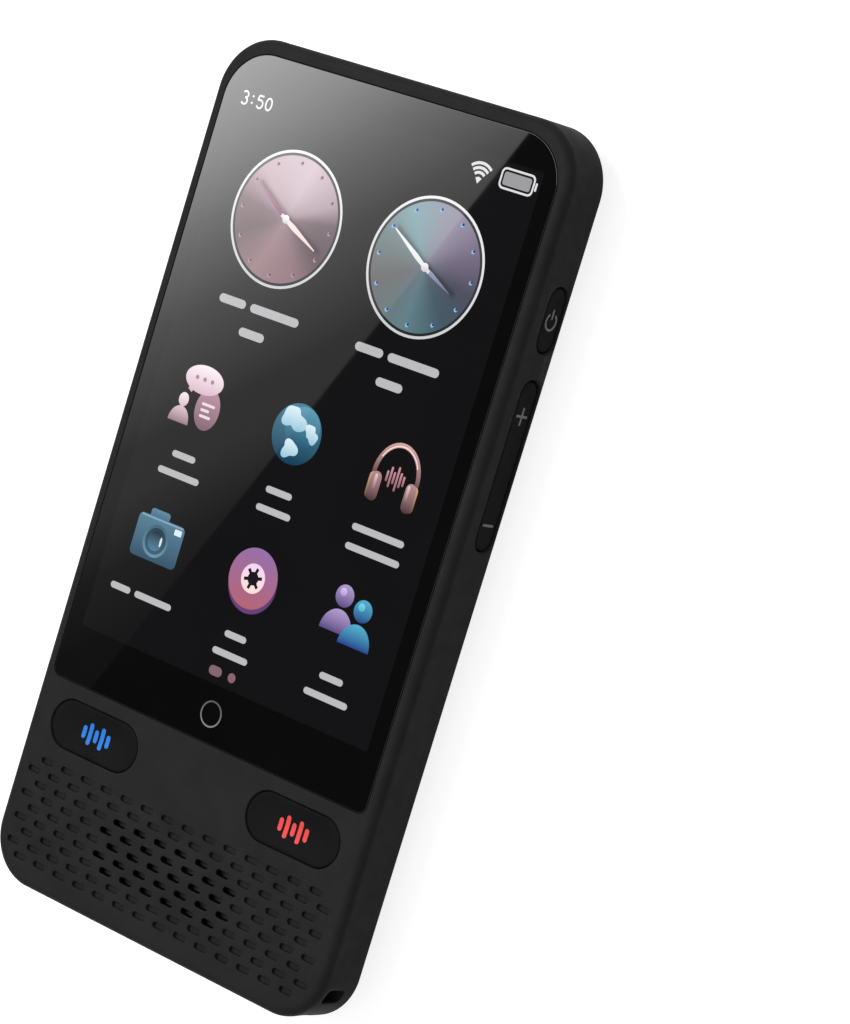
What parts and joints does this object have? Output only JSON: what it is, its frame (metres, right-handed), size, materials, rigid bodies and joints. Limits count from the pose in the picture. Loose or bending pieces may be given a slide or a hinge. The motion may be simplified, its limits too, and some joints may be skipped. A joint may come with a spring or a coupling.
{
  "type": "handheld translator",
  "caption": "Slim bar-shaped handheld translator with a touch display, two talk keys over a speaker grille, side keys, a card tray and a rear camera.",
  "frame": {"origin": "bottom centre of the whole part, lying on its back: the camera window's outer face is at Z = 0", "axes": "+Z out of the display, +Y to the top end, +X to the side with the power and volume keys"},
  "size_m": [0.066, 0.1322, 0.0125],
  "materials": {
    "housing_black": "fine matte moulding",
    "key_black": "smooth satin moulding",
    "cover_glass": "polished, black printed back",
    "display_black": "gloss",
    "camera_gloss": "satin black",
    "trim_metal": "polished bevel",
    "lens_glass": "coated",
    "frame_metal": "stamped, satin",
    "steel": "bright",
    "board": "solder mask",
    "chip_black": "moulded",
    "cell_wrap": "foil wrap",
    "flex_amber": "polyimide film",
    "foam": "closed-cell foam",
    "mesh_black": "fine dust mesh"
  },
  "bodies": {
    "handset": {"front_housing": "housing_black", "rear_cover": "housing_black", "cover_glass": "cover_glass", "display_adhesive": "foam", "display_panel": "display_black", "display_flex": "flex_amber", "mid_frame": "frame_metal", "talk_switch_board": "board", "talk_switches": "steel", "side_switch_board": "flex_amber", "side_switches": "steel", "card_socket": "steel", "loudspeaker": "chip_black", "speaker_gasket": "foam", "speaker_mesh": "mesh_black", "speaker_pad": "foam", "usb_c_socket": "steel", "charge_board": "board", "microphones": "steel", "link_flex": "flex_amber", "camera_window": "camera_gloss", "camera_ring": "trim_metal", "camera_pane": "camera_gloss", "camera_lens": "lens_glass", "camera_module": "chip_black", "camera_seal": "foam", "main_board": "board", "shield_can": "steel", "processor": "chip_black", "battery": "cell_wrap", "battery_flex": "flex_amber", "vibration_motor": "steel", "antenna_flex": "flex_amber", "chassis_screws": "steel"},
    "left_talk_key": {"left_talk_button": "key_black"},
    "right_talk_key": {"right_talk_button": "key_black"},
    "power_key": {"power_button": "key_black"},
    "volume_key": {"volume_rocker": "key_black"},
    "tray": {"card_tray": "key_black"}
  },
  "joints": [
    {"name": "left_talk_press", "type": "slide", "parent": "handset", "child": "left_talk_key", "axis": [0, 0, -1], "range_m": [0, 0.0004], "stiffness_N_per_m": 2000, "springref_m": -0.0002},
    {"name": "right_talk_press", "type": "slide", "parent": "handset", "child": "right_talk_key", "axis": [0, 0, -1], "range_m": [0, 0.0004], "stiffness_N_per_m": 2000, "springref_m": -0.0002},
    {"name": "power_press", "type": "slide", "parent": "handset", "child": "power_key", "axis": [-1, 0, 0], "range_m": [0, 0.00035], "stiffness_N_per_m": 2000, "springref_m": -0.0002},
    {"name": "volume_rock", "type": "hinge", "parent": "handset", "child": "volume_key", "pos_m": [0.03045, 0.0184, 0.0068], "axis": [0, 0, 1], "range_deg": [-1.4, 1.4], "stiffness_Nm_per_rad": 0.3},
    {"name": "card_tray_slide", "type": "slide", "parent": "handset", "child": "tray", "axis": [-1, 0, 0], "range_m": [0, 0.0216]}
  ]
}
